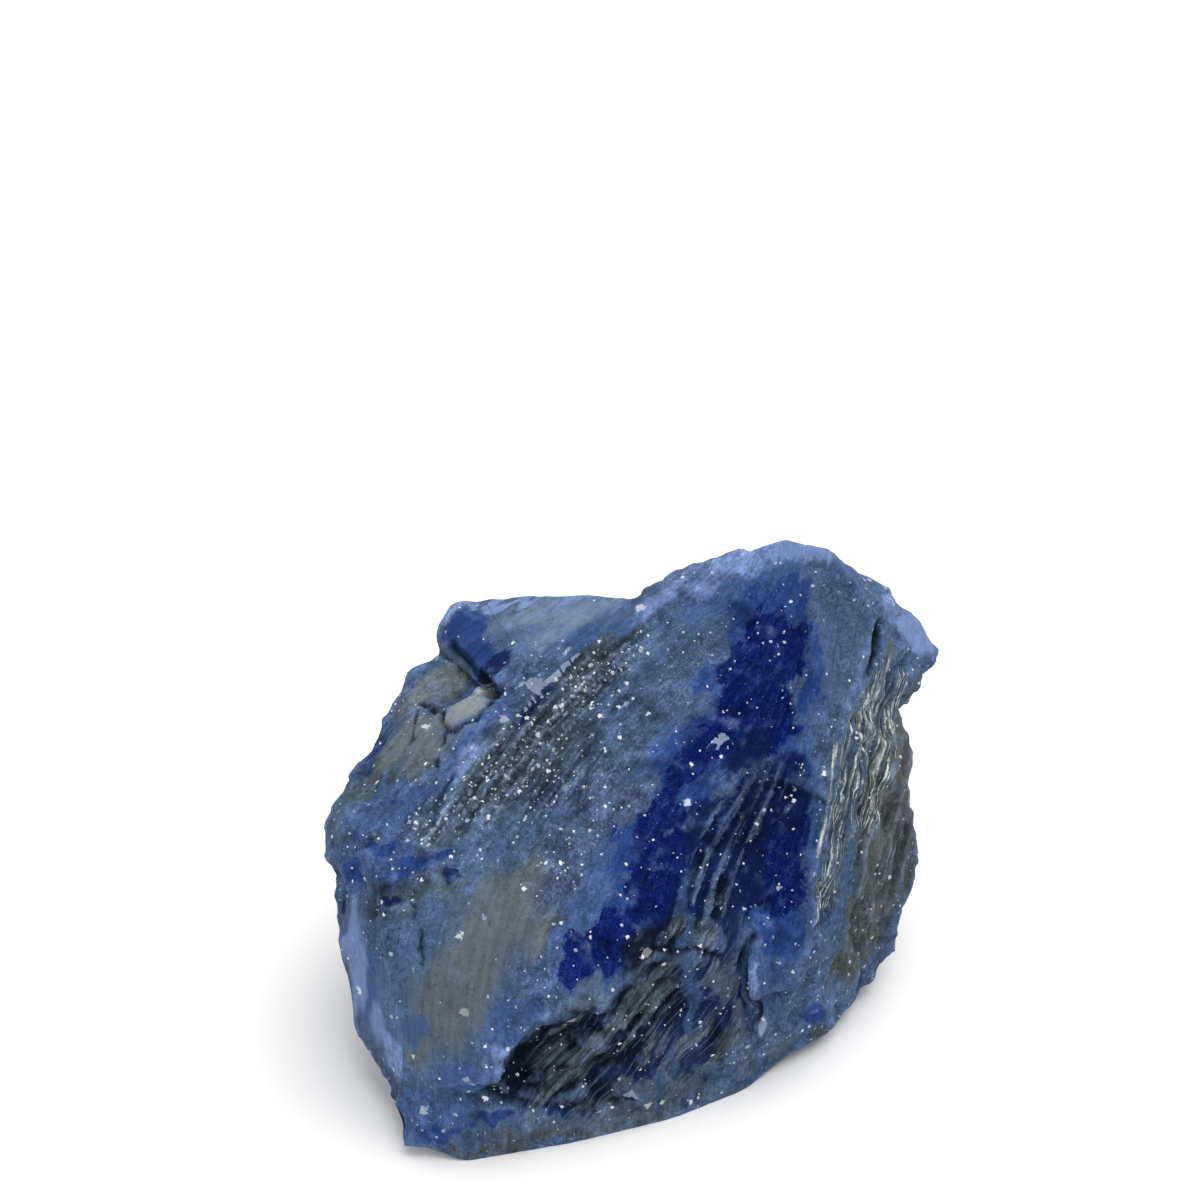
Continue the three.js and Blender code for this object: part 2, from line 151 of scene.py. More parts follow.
# Patches of each kind of stone that the camera sees. Each starts with the place where
# its middle shows in the camera's frame, in pixels from the left and from the top. Its
# sizes follow in mm: half width across the grain and half length along it, or the
# radius of a round one.
SEEN_PATCHES = {
    "denim": [
        (575, 640, 1.7, 0.6), (770, 570, 2.3, 0.8), (485, 722, 0.9, 2.3), (460, 765, 1.2, 2),
        (372, 860, 2.7, 1.4), (350, 880, 1.6, 1.6), (372, 808, 2.8, 1), (405, 792, 2, 0.9),
        (350, 828, 1.2, 0.9), (700, 810, 1.1, 1.6), (590, 632, 3.3, 0.8), (560, 640, 1.6, 0.8),
        (500, 1030, 1.4, 1.6), (522, 1008, 1.4, 0.9), (470, 1080, 2.7, 1.4), (430, 1112, 3.4, 1.6),
        (410, 1130, 2, 0.9), (770, 955, 2.3, 3.6), (775, 910, 2, 1.6), (600, 905, 2.8, 3.1),
        (620, 860, 1.9, 2.3), (580, 940, 2, 1.6), (655, 735, 1.7, 1.9), (720, 600, 2.3, 1.4),
        (700, 640, 1.6, 1.6), (490, 690, 1.4), (812, 860, 1.1, 3.9), (810, 780, 0.9, 3.9),
        (684, 940, 0.9, 3.9), (366, 985, 1.1, 3.1), (505, 1045, 1.1, 1.4), (640, 760, 1.1, 1.6),
        (415, 1035, 1.1, 1.1),
    ],
    "royal": [
        (352, 868, 1.1, 0.9), (385, 842, 0.9, 0.6), (412, 866, 1.1, 0.7), (440, 860, 0.8, 0.6),
        (775, 600, 2.3, 1.6), (760, 620, 3.1, 2.7), (740, 660, 3.1, 3.1), (765, 710, 3.6, 3.9),
        (795, 670, 1.7, 3.4), (690, 752, 2.3, 2.8), (675, 800, 2.5, 3.1), (650, 830, 2.3, 3.9),
        (668, 880, 2.3, 3.4), (628, 925, 2.3, 2.8), (592, 960, 2.3, 2.2), (770, 800, 2.7, 3.9),
        (780, 870, 2.3, 3.9), (735, 860, 3.6, 3.6), (466, 632, 2.1), (482, 660, 1.6),
        (815, 1012, 1.2, 1.2), (700, 900, 1.6, 2.2), (530, 710, 0.5, 1.6), (440, 1128, 1.6, 0.6),
        (490, 1118, 1.4, 0.5), (640, 1000, 0.8, 1.1), (715, 745, 2.3, 1.6), (785, 930, 1.6, 1.9),
    ],
    # Pale lilac-blue haze, and painted highlight where these patches lie along the upper rims, the knob,
    # the lip and the flake.
    "haze": [
        (472, 758, 0.9, 1.4), (764, 893, 0.6, 0.7), (754, 985, 0.3, 1.2), (764, 1020, 0.5, 0.6),
        (785, 552, 3.6, 0.8), (735, 570, 2, 0.8), (690, 592, 1.7, 0.8), (650, 604, 1.2, 0.6),
        (496, 1066, 0.3, 1.1), (512, 1050, 0.5, 0.6), (535, 1036, 0.9, 0.2), (912, 632, 2),
        (927, 641, 1.1), (888, 606, 1.2), (444, 618, 0.8), (453, 606, 0.7), (471, 601, 0.7),
        (506, 599, 2.7, 0.5), (358, 970, 0.7, 3.4), (350, 935, 0.5, 2.8), (392, 1052, 0.8, 1.6),
        (376, 1020, 0.8, 1.6), (652, 607, 0.9, 0.6), (750, 995, 0.2, 1.7), (500, 1062, 0.6, 0.8),
        (560, 596, 3.1, 0.4),
    ],
    # Pale grey top ledge, painted paler as the sheen of the light from above.
    "pale_grey_and_sheen": [
        (565, 615, 3.9, 1.1), (530, 618, 2, 1.2), (600, 607, 2.3, 0.6), (550, 640, 1.2, 0.9),
    ],
    "plate_grey": [
        (402, 742, 1.2, 2.5), (425, 692, 1.2, 1.7), (418, 735, 1.2, 2.3), (440, 685, 1.7),
        (424, 756, 0.9, 1.6), (455, 675, 1.4),
    ],
    "plate_pale": [
        (468, 702, 1.6), (486, 690, 1), (452, 716, 0.9),
    ],
    "teal_grey": [
        (852, 630, 1.2, 3.6), (842, 700, 1.1, 3.4), (832, 600, 1.4, 1.4), (640, 720, 2, 2.3),
        (826, 760, 0.7, 2.7), (620, 760, 1.7, 1.9), (680, 660, 1.7, 2.3),
    ],
    "grey_green": [
        (360, 795, 1.1, 2), (346, 820, 0.6, 1.6), (508, 745, 2.3, 2.7), (562, 700, 2.3, 2.7),
        (485, 790, 2, 1.2), (372, 765, 1, 3.4), (345, 805, 0.6, 2), (388, 905, 1.9, 1.2),
        (432, 890, 2.3, 0.8), (598, 655, 1.6, 1.9), (440, 835, 1.9, 0.8), (620, 640, 1.1, 1.2),
        (540, 760, 3.1, 2.8), (364, 842, 0.8, 0.9), (490, 770, 1.1, 2.7), (390, 790, 1.1, 2.3),
    ],
    "beige": [
        (488, 930, 2.7, 3.9), (455, 960, 1.4, 2.3), (505, 898, 1.7, 2), (440, 1010, 2, 2.7),
        (470, 985, 1.9, 2.3), (532, 880, 1.1, 1.9), (418, 1050, 1.1, 1.6), (890, 652, 0.5, 0.8),
        (540, 930, 1.1, 1.9),
    ],
    "olive": [
        (895, 780, 1.2, 5.5), (885, 850, 2, 4.7), (868, 910, 2.2, 3.9), (850, 950, 2, 2.3),
        (905, 730, 0.9, 3.4), (885, 770, 1.1, 3.9), (872, 830, 1.1, 3.4), (820, 1032, 0.9, 0.6),
        (560, 1137, 4.7, 0.4), (480, 1152, 3.9, 0.3), (640, 1120, 2.3, 0.3), (902, 850, 1.1, 3.9),
        (880, 900, 1.6, 3.9),
    ],
    "violet": [
        (716, 652, 1.2), (793, 690, 0.5, 0.9), (560, 880, 1.9, 1.4), (640, 800, 1.1, 1.6),
        (600, 800, 2, 2), (760, 760, 1.2, 1.1), (700, 700, 0.8, 0.9),
    ],
    "front_grey": [
        (725, 980, 1.4, 1.2), (560, 1128, 4.7, 0.6), (640, 1108, 3.9, 0.6), (720, 1092, 2.2, 0.7),
        (748, 1062, 0.9, 1.1), (775, 1050, 0.8, 0.8), (640, 1085, 2.3, 0.8), (738, 1010, 0.5, 1.1),
        (545, 1132, 5.5, 0.5), (612, 1118, 3.4, 0.6), (596, 985, 1.4, 0.6), (690, 1090, 1.9, 0.5),
        (780, 1040, 1.1, 0.8), (590, 1000, 2, 0.6),
    ],
    "ultramarine": [
        (748, 668, 1.1, 1.6), (660, 880, 1.1, 1.9), (760, 622, 1.1, 1.2), (742, 650, 1.2, 2.3),
        (775, 645, 1.1, 2.2), (798, 650, 0.8, 2), (755, 695, 2.2, 2.7), (765, 725, 2.3, 2),
        (738, 720, 1.4, 1.9), (700, 757, 1.4, 1.9), (690, 775, 0.9, 1.6), (656, 815, 1.2, 2.3),
        (668, 850, 1.4, 2.8), (648, 870, 1.1, 2.5), (668, 905, 0.9, 2.3), (770, 810, 1.1, 3.6),
        (792, 840, 0.9, 2.3), (786, 885, 1.6, 1.9), (588, 955, 2, 2), (612, 940, 1.7, 1.9),
        (757, 880, 0.9, 1.9), (640, 895, 0.8, 1.2),
    ],
    "navy": [
        (492, 668, 0.8, 1.1), (365, 842, 0.5, 0.6), (386, 905, 0.9, 0.7), (340, 900, 0.4, 0.9),
        (452, 880, 0.6, 0.5), (706, 815, 0.9, 1.9), (742, 825, 2.7, 3.9), (712, 855, 1.9, 3.9),
        (762, 790, 1.6, 2.7), (700, 900, 2.2, 2.3), (690, 955, 4.4, 3.6), (640, 1035, 5.2, 3.9),
        (705, 1010, 3.6, 3.6), (600, 1085, 5.5, 2.2), (740, 885, 2, 2.3), (650, 1095, 4.7, 1.4),
        (550, 1060, 3.6, 3.4), (745, 750, 1.4, 1.6), (790, 800, 1.1, 2.8),
    ],
    # Near-black stone, and painted shade in the hollow under the lip and along cracks.
    "charcoal": [
        (645, 955, 1.7, 1.6), (628, 1000, 2, 1.6), (716, 1040, 0.9, 1.6), (632, 1050, 1.9, 1.7),
        (600, 1092, 2.8, 1.1), (556, 1082, 2.7, 1.7), (876, 640, 0.3, 1.6), (520, 1065, 2.3, 2.7),
        (552, 1034, 3, 1.7), (582, 1014, 2.3, 1.2), (662, 940, 2.2, 1.9), (650, 985, 2, 1.9),
        (503, 1090, 1.6, 1.4), (612, 1024, 2.2, 1.4), (700, 930, 1.1, 1.4), (660, 1005, 1.7, 1.9),
        (718, 905, 0.8, 1.9), (540, 1085, 2, 1.4), (590, 1050, 2, 1.4), (690, 945, 1.6, 0.9),
        (700, 870, 0.4, 1.2),
    ],
    "vein": [
        (681, 905, 0.5, 1.6), (686, 935, 0.5, 1.7), (688, 965, 0.5, 1.7), (690, 1000, 0.4, 1.6),
        (688, 1025, 0.3, 1.1), (672, 1062, 0.3, 1.6), (658, 1100, 0.3, 1.6), (815, 700, 0.2, 3.1),
        (814, 780, 0.2, 3.9), (806, 850, 0.2, 2.3),
    ],
    "fibres": [
        (874, 690, 1.1, 2), (862, 730, 1.3, 2.3), (850, 770, 1.5, 2.7), (840, 812, 1.5, 2.7),
        (832, 850, 1.2, 2.7), (826, 890, 0.9, 1.9), (890, 700, 0.8, 2), (884, 750, 0.9, 2.3),
        (868, 800, 0.8, 2),
    ],
    "terraces": [
        (618, 650, 1.2, 1.6), (582, 692, 3, 3.1), (548, 735, 3.6, 3.6), (515, 775, 3.8, 3.1),
        (475, 805, 3.1, 2.2), (560, 775, 2.7, 2.7), (435, 825, 1.7, 1.1),
    ],
    "pitted": [
        (378, 902, 2.2, 1.6), (420, 890, 1.9, 0.9), (765, 890, 1.2, 1.1), (364, 842, 0.8, 0.8),
    ],
    "ribs": [
        (742, 815, 2.3, 3.6), (722, 850, 1.9, 3.6), (716, 900, 1.6, 1.9),
    ],
    "swirls": [
        (620, 1060, 6.2, 4.7), (690, 980, 3.9, 3.9), (660, 1110, 4.7, 1.9), (690, 930, 1.1, 0.9),
        (550, 1110, 3.1, 1.6), (720, 1040, 2.3, 1.6), (612, 1005, 2.3, 1.4),
    ],
    "plates": [
        (555, 671, 1.15, 1.3), (529, 682, 0.4, 0.6), (527, 706, 0.45, 0.75), (622, 699, 0.22, 0.6),
        (713, 742, 0.65, 0.35), (765, 1027, 0.55, 0.8), (625, 1095, 0.6, 0.3), (483, 911, 0.32, 0.16),
        (465, 1080, 0.25, 0.3), (721, 671, 0.22, 0.4),
    ],
}

# The other patches: those on the sides and the back, broad ones, and a small plate at
# the step. Middle (x, y, z) in mm, then the same sizes.
OTHER_PATCHES = {
    "denim": [
        (0, 19, 23, 7, 6), (20, 12, 8, 6, 5), (-18, 12, 14, 5, 5),
    ],
    "royal": [
        (-8, 19, 18, 6, 7), (15, 18, 14, 5, 6), (-2, 17, 10, 4, 3), (-20, 6, 19, 3, 4),
    ],
    "haze": [
        (10, 18, 30, 6, 4), (-15, 17, 21, 5, 4),
    ],
    "plate_grey": [
        (4, 18, 12, 5, 6),
    ],
    "teal_grey": [
        (18, 15, 24, 5, 5),
    ],
    "grey_green": [
        (-21, 3, 14, 5, 5), (5, 18, 8, 8, 5), (-12, 17, 25, 5, 4),
    ],
    "beige": [
        (-12, 16, 13, 4, 6), (9, 18, 19, 4, 3),
    ],
    "ultramarine": [
        (-8, 19, 18, 5, 6), (15, 18, 14, 4, 5), (-18, 12, 7, 4, 4),
    ],
    "pitted": [
        (10, 20, 16, 3, 3),
    ],
    "calm": [
        (22.3, 12, 28, 3), (14, 10, 34, 4), (-4, 13, 29.5, 4), (-10, 12.5, 29.4, 3.4),
        (-6, 11, 29, 6, 2.6), (-13.5, 3.8, 26.5, 2), (-17, 1.5, 24.5, 2, 2.5), (-21.5, -10, 9, 3, 6),
        (-13.4, 10.8, 28, 2.6), (-12, -12, 15, 4, 5), (15, 4, 30, 2, 4.5), (-15, -15, 10, 3, 4),
    ],
    "plates": [
        (-15.2, 7.4, 26.3, 0.2, 0.12),
    ],
}

# Open cracks and the feet of small scarps: width and depth in mm, then the places in
# the camera's frame that each runs through. Each is cut in and also painted dark as
# its shade, the first one as the shadow line under the top-left block.
CREASES = [
    (0.8, 0.55, [(454, 647), (470, 667), (483, 681), (496, 693)]),
    (0.35, 0.35, [(419, 703), (433, 707), (441, 715), (447, 728)]),
    (0.3, 0.3, [(447, 728), (440, 742), (434, 762)]),
    (0.25, 0.2, [(406, 758), (413, 735), (418, 712)]),
    (0.3, 0.25, [(447, 728), (462, 726), (478, 720), (492, 701)]),
    (0.6, 0.45, [(752, 935), (745, 955), (746, 985), (752, 1007), (761, 1023)]),
    (0.8, 0.7, [(879, 625), (876, 648), (871, 668)]),
    (0.4, 0.25, [(640, 954), (655, 948), (690, 945), (720, 954)]),
    (0.3, 0.2, [(414, 884), (415, 905), (418, 934), (419, 963)]),
]

# Smooth round swellings: middle, radius and height in mm.
SWELLINGS = [
    ((-13.6, 10.9, 28), 3.0, 0.5),
    ((10.6, -9.6, 11), 2.6, 0.35),
    ((22.5, 12.5, 28), 2.5, 0.25),
]

# Grey kinds, on which the blue threads and scratches are weaker.
GREY_KINDS = ("plate_grey", "plate_pale", "grey_green", "beige", "olive")
# Kinds of violet and grey stone that interrupt the blue.
INTERRUPTING = ("violet", "teal_grey", "pale_grey_and_sheen", "plate_grey", "plate_pale")
# Kinds that only tint the stone, in the order in which they are laid on, with their strength.
SOFT_TINTS = {
    "grey_green": 0.9, "teal_grey": 0.85, "beige": 0.9, "plate_grey": 0.95, "plate_pale": 0.95,
    "pale_grey_and_sheen": 0.95, "olive": 1.0, "violet": 0.6,
}
# Kinds with streaks along the grain, and how strong they are.
STREAKED = {"terraces": 0.8, "ribs": 0.9, "fibres": 0.8, "olive": 1.0, "beige": 0.3, "swirls": 0.4}
# Kinds whose borders are cut finely in the material, so each has an attribute.
CUT_KINDS = (
    "denim", "royal", "haze", "ultramarine", "navy", "charcoal", "vein", "fibres", "terraces",
    "plates", "olive", "swirls", "front_grey", "calm",
)


class View:
    """Finds the places on the solid that show in the camera's frame."""

    def __init__(self):
        solid = bmesh.new()
        solid.from_mesh(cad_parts[NODE].data)
        self.surface = BVHTree.FromBMesh(solid)
        solid.free()
        self.back = np.array([0.0, -math.cos(PITCH), math.sin(PITCH)])
        self.up = np.array([0.0, math.sin(PITCH), math.cos(PITCH)])
        self.eye = (np.array(AIM) + DISTANCE * self.back) * MM

    def place(self, across, down):
        """Where the ray through the middle of a pixel meets the solid, in mm.

        The ray's way is forward + (right * pixels to the right of the frame's
        middle - up * pixels below it) / focal length in pixels.
        """
        focal = LENS / SENSOR * FRAME_SIZE
        aside = (across + 0.5 - FRAME_SIZE / 2) / focal
        below = (down + 0.5 - FRAME_SIZE / 2) / focal
        way = np.array([aside, 0.0, 0.0]) - below * self.up - self.back
        hit = self.surface.ray_cast(Vector(self.eye), Vector(way).normalized())[0]
        if hit is None:
            raise ValueError(f"The stone doesn't show at {across}, {down}")
        return np.array(hit) / MM


def placed_patches(view):
    """All patches of each kind, each with its middle and its sizes in mm."""
    placed = {kind: list(patches) for kind, patches in OTHER_PATCHES.items()}
    for kind, patches in SEEN_PATCHES.items():
        seen = [(*view.place(*patch[:2]), *patch[2:]) for patch in patches]
        placed[kind] = seen + placed.get(kind, [])
    return placed


def placed_creases(view):
    """The width and depth of each crease, and the points in mm that it runs through."""
    return [
        (width, depth, np.array([view.place(*place) for place in path]))
        for width, depth, path in CREASES
    ]


def up_and_in(points):
    """Height up the tilted front, and depth behind it, in mm."""
    return points @ FRONT_UP, points @ FRONT_IN


def grain_coordinates(points):
    """Across, along and through the stone's streaks, in mm.

    Along is the height up the tilted front. Across is X, bent so that the
    streaks lean over more the higher they are, and less towards the right.
    """
    along, through = up_and_in(points)
    lean = np.clip(along - 1.0, 0.0, None) ** 2 / 48.0
    upright = 1.0 - 0.65 * smoothstep(points[:, 0], 7.0, 17.0)
    return np.stack([points[:, 0] - lean * upright, along, through], axis=1)


def grain_slope(place):
    """How far the streaks move in X for each mm along them, at one place."""
    step = 0.1
    around = np.array([place, place, place], float)
    around[1, 0] += step
    around[2] += step * FRONT_UP
    here, beside, above = grain_coordinates(around)[:, 0]
    return -(above - here) / (beside - here)


def wisp_coordinates(points):
    """Across, along and through the feathery wisps of the lower front, in mm.

    They rise to the right at 52 degrees, and curl where the noise bends them.
    """
    along, through = up_and_in(points)
    curl = 1.0 * noise(points, 5.0, 31) + 0.2 * noise(points, 2.4, 32)
    slide = 1.2 * noise(points, 4.0, 33) + 0.3 * noise(points, 1.8, 34)
    across = 0.79 * points[:, 0] - 0.61 * along + curl
    return np.stack([across, 0.61 * points[:, 0] + 0.79 * along + slide, through], axis=1)


def strand_coordinates(points):
    """Across, along and through the fibres of the right flank, in mm.

    Across is that of the grain plus three quarters of the depth, so that the
    fibres run straight up the flank where it turns away.
    """
    grain = grain_coordinates(points)
    return grain + np.outer(grain[:, 2], np.array([0.75, 0.0, 0.0]))


def feathered(points):
    """X, along and through, moved by noise so that a patch frays out along the grain."""
    grain = grain_coordinates(points)
    strands = noise(grain / np.array([0.7, 9.0, 4.0]), 1.0, 71)
    strands += 0.6 * noise(grain / np.array([0.3, 5.0, 2.5]), 1.0, 72)
    across = points[:, 0] + 0.4 * noise(points, 3.2, 74) + 0.35 * noise(points, 1.1, 75)
    along = grain[:, 1] + 0.7 * strands + 0.5 * noise(points, 2.4, 73)
    return np.stack([across, along, grain[:, 2]], axis=1)


def wavering(points):
    """The points moved a little by noise, for round patches and cracks."""
    return points + 0.35 * np.stack([noise(points, 1.3, 91 + axis) for axis in range(3)], axis=1)


def zone_strength(points, frayed, patches):
    """Strength of a kind of stone from 0 to 1 at each point.

    Each patch is an ellipsoid that leans with the grain at its middle, or a
    ball. It is full at its middle and fades past its half width and half
    length. Patches that meet join: strength = 1 - product(1 - strength of each).
    """
    clear = np.ones(len(points))
    for patch in patches:
        if len(patch) == 4:
            distance = np.linalg.norm(points - np.array(patch[:3]), axis=1) / patch[3]
            fading = 1 - smoothstep(distance, 0.6, 1.25)
        else:
            across, along = patch[3:]
            height, depth = up_and_in(np.array([patch[:3]], float))
            away = frayed - np.array([patch[0], height[0], depth[0]])
            away[:, 0] -= grain_slope(patch[:3]) * away[:, 1]
            reach = np.array([across, along, max(1.5, 1.2 * across, 1.2 * along)])
            distance = np.linalg.norm(away / reach, axis=1)
            fading = 1 - smoothstep(distance, 0.5, 1.6)
        clear *= 1 - fading
    return 1 - clear


def saw_tooth(grain, points, width, seed):
    """Height of steps across the grain, and how much each point lies in a groove or on a crest.

    Each step rises slowly and falls quickly, from -0.5 to 0.5. Its lines run on
    along the grain with little waver, and it fades out in places.
    """
    drift = 0.4 * noise(grain / np.array([1.2, 3.0, 2.0]), 3.0, seed)
    drift += 0.08 * noise(points, 1.1, seed + 1)
    climb = grain[:, 0] / width + drift
    part = climb - np.floor(climb)
    height = np.where(part < 0.78, part / 0.78, (1 - part) / 0.22) - 0.5
    broken = smoothstep(noise(grain / np.array([1.3, 8.0, 4.0]), 1.0, seed + 2), -0.5, 0.1)
    groove = (1 - smoothstep(part, 0.08, 0.42)) * broken
    crest = smoothstep(part, 0.58, 0.76) * (1 - smoothstep(part, 0.8, 0.92)) * broken
    return height * (0.25 + 0.75 * broken), groove, crest


# ------------------------------------------------------------------- surface

def merged_solid(sharp_angle):
    """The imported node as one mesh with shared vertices, and its sharp edges creased."""
    solid = bmesh.new()
    solid.from_mesh(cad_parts[NODE].data)
    bmesh.ops.remove_doubles(solid, verts=solid.verts, dist=0.001 * MM)
    crease = solid.edges.layers.float.new("crease_edge")
    for edge in solid.edges:
        if edge.calc_face_angle(0.0) > sharp_angle:
            edge[crease] = EDGE_CREASE
    mesh = bpy.data.meshes.new("stone_solid")
    solid.to_mesh(mesh)
    solid.free()
    return mesh


def subdivided(mesh, levels):
    """The mesh after a Subdivision Surface of that many levels."""
    coarse = bpy.data.objects.new("stone_coarse", mesh)
    bpy.context.collection.objects.link(coarse)
    modifier = coarse.modifiers.new("fine", "SUBSURF")
    modifier.levels = levels
    modifier.render_levels = levels
    evaluated = coarse.evaluated_get(bpy.context.evaluated_depsgraph_get())
    fine = bpy.data.meshes.new_from_object(evaluated)
    bpy.data.objects.remove(coarse)
    bpy.data.meshes.remove(mesh)
    return fine


def read_points(mesh):
    """The vertices as an array (n, 3), in mm."""
    points = np.empty(len(mesh.vertices) * 3)
    mesh.vertices.foreach_get("co", points)
    return points.reshape(-1, 3) / MM


def read_normals(mesh):
    """The vertex normals as an array (n, 3)."""
    normals = np.empty(len(mesh.vertices) * 3)
    mesh.vertex_normals.foreach_get("vector", normals)
    return normals.reshape(-1, 3)


def write_points(mesh, points):
    """Moves the vertices to the points, given in mm."""
    mesh.vertices.foreach_set("co", (points * MM).ravel())
    mesh.update()


def smoothed(values, edges, rounds):
    """Each vertex's values moved to the mean of its neighbours', round after round."""
    count = len(values)
    ends = np.concatenate([edges[:, 0], edges[:, 1]])
    others = np.concatenate([edges[:, 1], edges[:, 0]])
    degree = np.bincount(ends, minlength=count)[:, None]
    result = values.copy()
    for _ in range(rounds):
        sums = np.stack(
            [np.bincount(ends, result[others, axis], count) for axis in range(values.shape[1])], axis=1
        )
        result = 0.5 * result + 0.5 * sums / degree
    return result


def line_distance(points, path):
    """Distance from each point to a line through the path's points."""
    nearest = np.full(len(points), 99.0)
    for start, end in zip(path[:-1], path[1:]):
        way = end - start
        share = np.clip((points - start) @ way / (way @ way), 0.0, 1.0)
        nearest = np.minimum(nearest, np.linalg.norm(points - start - share[:, None] * way, axis=1))
    return nearest


def crease_depth(points, creases):
    """Depth in mm of the open cracks, and how far into one each point is, from 0 to 1."""
    depth = np.zeros(len(points))
    inside = np.zeros(len(points))
    for width, deepest, path in creases:
        share = 1 - smoothstep(line_distance(points, path), 0.15 * width, width)
        depth = np.maximum(depth, deepest * share)
        inside = np.maximum(inside, share)
    return depth, inside


def swellings(points):
    """Height in mm of the smooth round swellings."""
    height = np.zeros(len(points))
    for middle, radius, rise in SWELLINGS:
        distance = np.linalg.norm(points - np.array(middle), axis=1) / radius
        height = np.maximum(height, rise * (1 - smoothstep(distance, 0.0, 1.0)))
    return height


def relief(points, zones, creases, look):
    """Height of the roughness along the normal in mm, and its grooves, crests, ribs and cracks.

    Chips of three sizes cover the stone, less on its calm faces. Splinters are
    chips drawn out along the grain, on the terraces, the ribs and the right
    flank. Steps are saw-teeth across the grain. Swirls are ridges of bent noise
    on the dark front. Streaks are noise drawn out along the grain. Swellings
    are added and cracks taken off, and all fade out towards the resting spot.
    """
    grain = grain_coordinates(points)
    wisps = wisp_coordinates(points)
    bend = np.stack([noise(points, 2.2, 40 + axis) for axis in range(3)], axis=1)
    terraces = zones["terraces"]
    ribs = zones["ribs"]
    stripes = np.maximum(zones["fibres"], zones["olive"])
    rough = 1 - 0.75 * zones["calm"] + 0.9 * zones["pitted"]
    splintered = np.clip(terraces + 0.7 * ribs + 0.6 * stripes + 0.15, 0, 1)

    large, large_light = chips(points + 0.7 * bend, 4.6, 10)
    middle, middle_light = chips(points + 0.6 * bend, 2.2, 11)
    small, small_light = chips(points + 0.4 * bend, 1.1, 12)
    long, long_light = chips((grain + 0.4 * bend) / np.array([1.0, 3.6, 2.2]), 1.3, 13)
    thin, thin_light = chips((grain + 0.3 * bend) / np.array([1.0, 4.5, 2.2]), 0.65, 14)
    grit = layered_noise(points, 1.2, 2, 21)
    wide, wide_groove, wide_crest = saw_tooth(grain, points, 1.5, 51)
    narrow, narrow_groove, narrow_crest = saw_tooth(grain, points, 0.62, 54)
    rib, rib_groove, _ = saw_tooth(grain, points, 1.35, 57)
    hackles = 1 - 2 * np.abs(layered_noise(wisps / np.array([0.9, 3.0, 1.4]), 1.0, 2, 64))
    drawn = grain / np.array([0.55, 6.0, 3.0])
    streaks = noise(drawn, 1.0, 61) + 0.6 * noise(drawn * 2.1, 1.0, 62)

    height = look.chip_height * rough * (large + 0.5 * middle + 0.28 * small) * (1 - 0.5 * terraces)
    height += look.splinter_height * splintered * (long + 0.5 * thin)
    height += look.grit_height * grit * rough
    height += look.step_height * (terraces * (0.7 * wide + 0.5 * narrow) + 0.8 * ribs * rib)
    height += look.swirl_height * zones["swirls"] * hackles
    height += look.streak_height * streaks * (0.3 + 1.4 * stripes + 0.5 * ribs)
    depth, crack = crease_depth(wavering(points), creases)
    height = (height / MM + swellings(points) - depth) * smoothstep(points[:, 2], 0.1, 2.0)

    light = 0.4 * large_light + 0.35 * middle_light + 0.25 * small_light
    light *= (1 - splintered) * rough
    light += splintered * (0.6 * long_light + 0.4 * thin_light)
    terrace_groove = terraces * np.maximum(wide_groove, 0.7 * narrow_groove)
    # The groove and crack masks are painted dark as shade in the material, and the crest mask lighter as
    # highlight.
    marks = {
        "groove": np.maximum(terrace_groove, 0.4 * ribs * rib_groove),
        "crest": terraces * np.maximum(wide_crest, 0.8 * narrow_crest),
        "rib": ribs * smoothstep(rib, -0.1, 0.35),
        "crack": crack,
        "chip_light": light,
    }
    return height, marks


def write_attribute(mesh, name, values):
    """Stores one number for each vertex."""
    attribute = mesh.attributes.new(name, "FLOAT", "POINT")
    attribute.data.foreach_set("value", values.astype(np.float32))


def write_vector(mesh, name, values):
    """Stores three numbers for each vertex."""
    attribute = mesh.attributes.new(name, "FLOAT_VECTOR", "POINT")
    attribute.data.foreach_set("vector", values.astype(np.float32).ravel())


def write_colour(mesh, name, values):
    """Stores a colour for each vertex."""
    attribute = mesh.attributes.new(name, "FLOAT_COLOR", "POINT")
    full = np.concatenate([values, np.ones((len(values), 1))], axis=1)
    attribute.data.foreach_set("color", full.astype(np.float32).ravel())


def prominence(points, normals, edges, rounds):
    """How far each point stands out of its surroundings, in mm, less than 0 in a hollow."""
    return np.einsum("ij,ij->i", points - smoothed(points, edges, rounds), normals)


def body_tint(points, frayed, zones, palette):
    """The stone's soft tints: slate with clouds of dark, grey-green and violet, then the patches."""
    def cloud(size, seed, low, high):
        pattern = layered_noise(frayed / np.array([1.0, 1.6, 1.0]), size, 3, seed)
        return smoothstep(pattern, low, high)[:, None]

    def laid(tint, name, share):
        return tint * (1 - share) + np.array(getattr(palette, name)) * share

    tint = laid(np.array(palette.slate), "slate_dark", cloud(4.0, 81, -0.5, 0.7))
    tint = laid(tint, "grey_green", 0.3 * cloud(3.0, 84, 0.1, 0.9))
    tint = laid(tint, "violet", 0.35 * cloud(3.5, 87, 0.1, 0.8))
    for kind, amount in SOFT_TINTS.items():
        tint = laid(tint, kind, amount * zones[kind][:, None])
    return tint


def streakiness(zones):
    """How strongly the streaks along the grain show, by the kinds that have them."""
    strength = np.full(len(zones["terraces"]), 0.3)
    for kind, amount in STREAKED.items():
        strength = np.maximum(strength, amount * zones[kind])
    return strength


def all_zones(points, frayed, patches):
    """The strength of every kind of stone at each point. Violet and grey stone interrupts the blue."""
    wavered = wavering(points)
    zones = {kind: zone_strength(wavered, frayed, patches[kind]) for kind in patches}
    interruption = np.max([zones[kind] for kind in INTERRUPTING], axis=0)
    for kind in ("denim", "royal", "ultramarine"):
        zones[kind] *= 1 - 0.8 * interruption
    return zones


